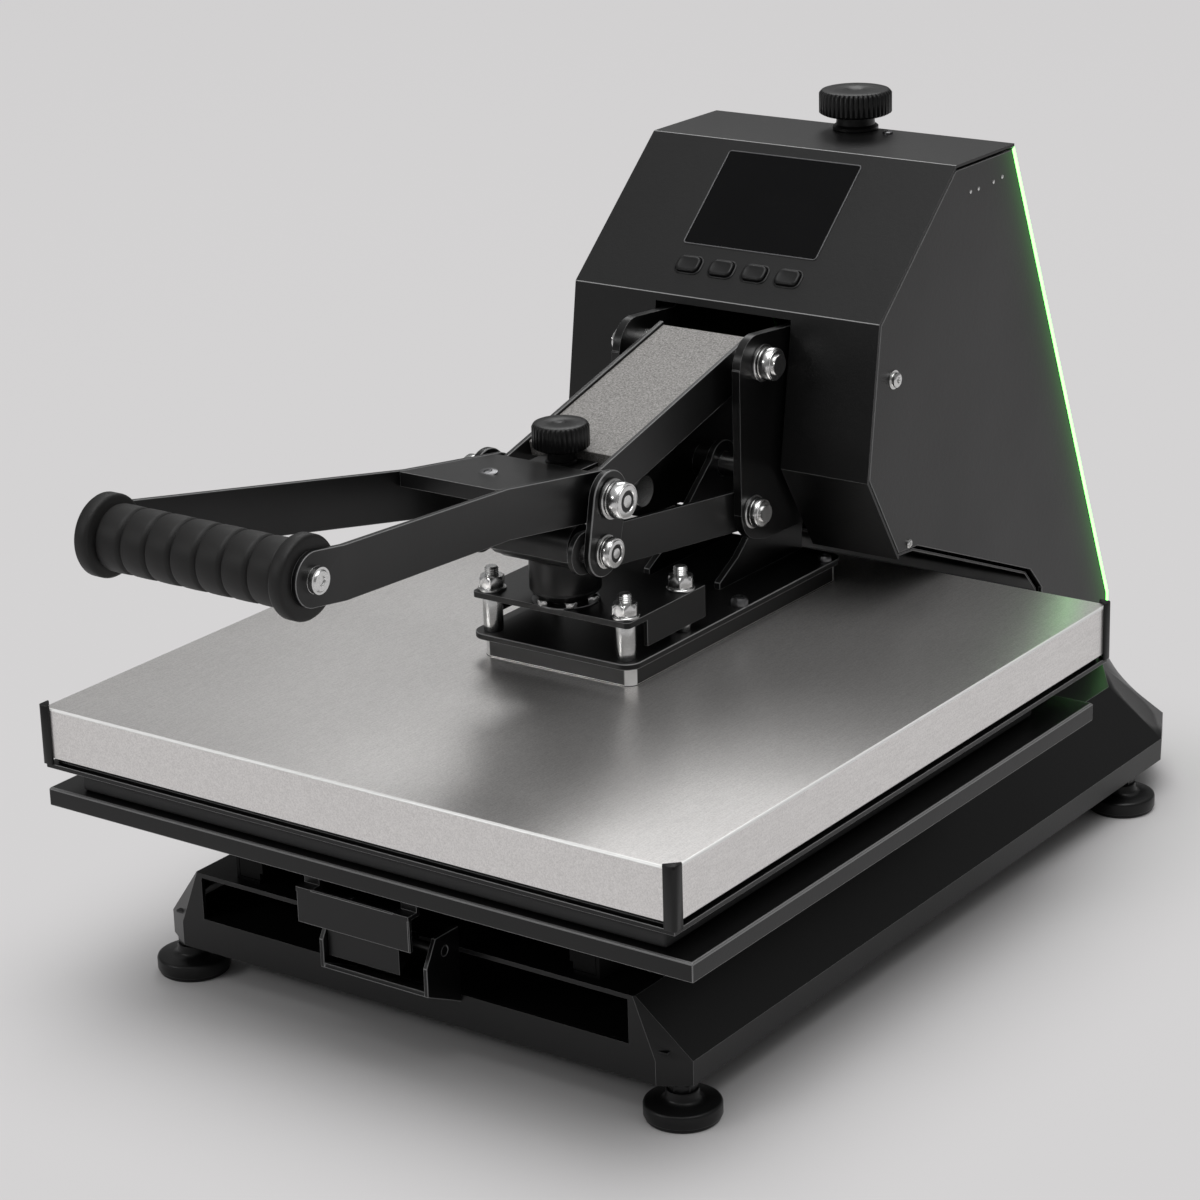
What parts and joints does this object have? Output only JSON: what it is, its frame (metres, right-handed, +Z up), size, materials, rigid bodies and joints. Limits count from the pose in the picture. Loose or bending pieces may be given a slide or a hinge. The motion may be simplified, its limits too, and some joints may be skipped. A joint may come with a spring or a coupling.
{
  "type": "clamshell heat press",
  "caption": "Clamshell heat press: a lever lifts and clamps a flat heated head over a padded platen on a pull-out drawer, with a sloping control housing at the back.",
  "frame": {"origin": "on the standing surface, midway between the four feet", "axes": "+X to the right seen from the front, +Y to the back, +Z up"},
  "size_m": [0.418, 0.7466, 0.4301],
  "materials": {
    "stainless": "satin, bright",
    "black_powder": "satin powder coat",
    "grey_coat": "fine textured coat",
    "zinc": "bright zinc plate",
    "platen_aluminium": "machined",
    "silicone": "matte",
    "foam": "soft matte",
    "black_plastic": "satin",
    "display_black": "glossy",
    "green_light": "glossy, lit",
    "element_steel": "satin",
    "insulation": "matte",
    "circuit_board": "satin"
  },
  "bodies": {
    "frame": {"base_tray": "black_powder", "latch_bracket": "black_powder", "slide_rails_fixed": "black_powder", "foot_plate": "black_powder", "frame_bolts": "zinc", "frame_cheeks": "black_powder", "tie_plates": "black_powder", "pivot_shafts": "zinc", "pivot_nuts": "zinc", "lower_pivot_bolts": "zinc", "front_cover": "black_powder", "side_cover_left": "black_powder", "side_cover_right": "black_powder", "rear_cover": "black_powder", "belly_panel": "black_powder", "light_strips": "green_light", "display_window": "display_black", "control_board": "circuit_board", "power_inlet": "black_plastic", "switch_frame": "black_plastic"},
    "foot_front_left_body": {"foot_front_left": "black_plastic"},
    "foot_front_right_body": {"foot_front_right": "black_plastic"},
    "foot_rear_left_body": {"foot_rear_left": "black_plastic"},
    "foot_rear_right_body": {"foot_rear_right": "black_plastic"},
    "latch": {"drawer_latch": "black_powder"},
    "drawer": {"slide_rails_moving": "black_powder", "drawer_carriage": "black_powder", "drawer_pull": "black_powder", "lower_platen": "black_powder", "pressing_pad": "silicone"},
    "button_1_body": {"button_1": "black_plastic"},
    "button_2_body": {"button_2": "black_plastic"},
    "button_3_body": {"button_3": "black_plastic"},
    "button_4_body": {"button_4": "black_plastic"},
    "rocker": {"power_switch": "black_plastic"},
    "adjusting_knob": {"top_knob": "black_plastic"},
    "head": {"head_cover": "stainless", "bottom_tray": "black_powder", "corner_trims": "black_powder", "heating_platen": "platen_aluminium", "heating_element": "element_steel", "insulation_blanket": "insulation", "centre_plate": "black_powder", "hinge_ears": "black_powder", "hanger_bracket": "black_powder", "hanger_studs": "zinc", "pressure_hub": "black_plastic", "hub_yoke": "black_powder"},
    "lower_arm_pair": {"lower_arms": "black_powder"},
    "lever": {"upper_arm": "black_powder", "arm_cover": "grey_coat", "handle_bars": "black_powder", "handle_crossplate": "black_powder", "lever_shaft": "zinc", "grip_rod": "zinc", "grip_sleeve": "foam"},
    "links": {"link_plates": "black_powder", "crank_bolts": "zinc"},
    "lever_knob": {"pressure_knob": "black_plastic"}
  },
  "joints": [
    {"name": "head_lift", "type": "hinge", "parent": "frame", "child": "head", "pos_m": [0, 0.088, 0.228], "axis": [-1, 0, 0], "range_deg": [0, 21]},
    {"name": "lower_arm_swing", "type": "hinge", "parent": "frame", "child": "lower_arm_pair", "pos_m": [0, 0.0191, 0.2287], "axis": [-1, 0, 0], "range_deg": [0, 30.5]},
    {"name": "lever_swing", "type": "hinge", "parent": "frame", "child": "lever", "pos_m": [0, 0.0306, 0.3115], "axis": [-1, 0, 0], "range_deg": [0, 28]},
    {"name": "link_swing", "type": "hinge", "parent": "lever", "child": "links", "pos_m": [0, -0.114, 0.2728], "axis": [1, 0, 0], "range_deg": [0, 76]},
    {"name": "lever_knob_turn", "type": "hinge", "parent": "lever", "child": "lever_knob", "pos_m": [0, -0.1, 0.2825], "axis": [0, 0, 1], "continuous": true},
    {"name": "drawer_slide", "type": "slide", "parent": "frame", "child": "drawer", "axis": [0, -1, 0], "range_m": [0, 0.25]},
    {"name": "latch_swing", "type": "hinge", "parent": "frame", "child": "latch", "pos_m": [0, -0.262, 0.07], "axis": [1, 0, 0], "range_deg": [0, 25], "stiffness_Nm_per_rad": 0.4, "springref_deg": -11.46},
    {"name": "rocker_tilt", "type": "hinge", "parent": "frame", "child": "rocker", "pos_m": [0.052, 0.32419, 0.11775], "axis": [0, -0.3829, 0.9238], "range_deg": [0, 14]},
    {"name": "adjusting_knob_turn", "type": "hinge", "parent": "frame", "child": "adjusting_knob", "pos_m": [0, 0.1995, 0.41], "axis": [0, 0, 1], "continuous": true},
    {"name": "button_1_press", "type": "slide", "parent": "frame", "child": "button_1_body", "axis": [0, 0.6582, -0.7529], "range_m": [0, 0.0012], "stiffness_N_per_m": 400, "springref_m": -0.001},
    {"name": "button_2_press", "type": "slide", "parent": "frame", "child": "button_2_body", "axis": [0, 0.6582, -0.7529], "range_m": [0, 0.0012], "stiffness_N_per_m": 400, "springref_m": -0.001},
    {"name": "button_3_press", "type": "slide", "parent": "frame", "child": "button_3_body", "axis": [0, 0.6582, -0.7529], "range_m": [0, 0.0012], "stiffness_N_per_m": 400, "springref_m": -0.001},
    {"name": "button_4_press", "type": "slide", "parent": "frame", "child": "button_4_body", "axis": [0, 0.6582, -0.7529], "range_m": [0, 0.0012], "stiffness_N_per_m": 400, "springref_m": -0.001},
    {"name": "foot_front_left_turn", "type": "hinge", "parent": "frame", "child": "foot_front_left_body", "pos_m": [-0.1635, -0.236, 0.01], "axis": [0, 0, 1], "continuous": true},
    {"name": "foot_front_right_turn", "type": "hinge", "parent": "frame", "child": "foot_front_right_body", "pos_m": [0.1635, -0.236, 0.01], "axis": [0, 0, 1], "continuous": true},
    {"name": "foot_rear_left_turn", "type": "hinge", "parent": "frame", "child": "foot_rear_left_body", "pos_m": [-0.1635, 0.236, 0.01], "axis": [0, 0, 1], "continuous": true},
    {"name": "foot_rear_right_turn", "type": "hinge", "parent": "frame", "child": "foot_rear_right_body", "pos_m": [0.1635, 0.236, 0.01], "axis": [0, 0, 1], "continuous": true}
  ],
  "couplings": [
    {"joint": "lower_arm_swing", "follows": "head_lift", "ratio": 1.45},
    {"joint": "lever_swing", "follows": "head_lift", "ratio": 1.32},
    {"joint": "link_swing", "follows": "head_lift", "ratio": 3.55}
  ]
}
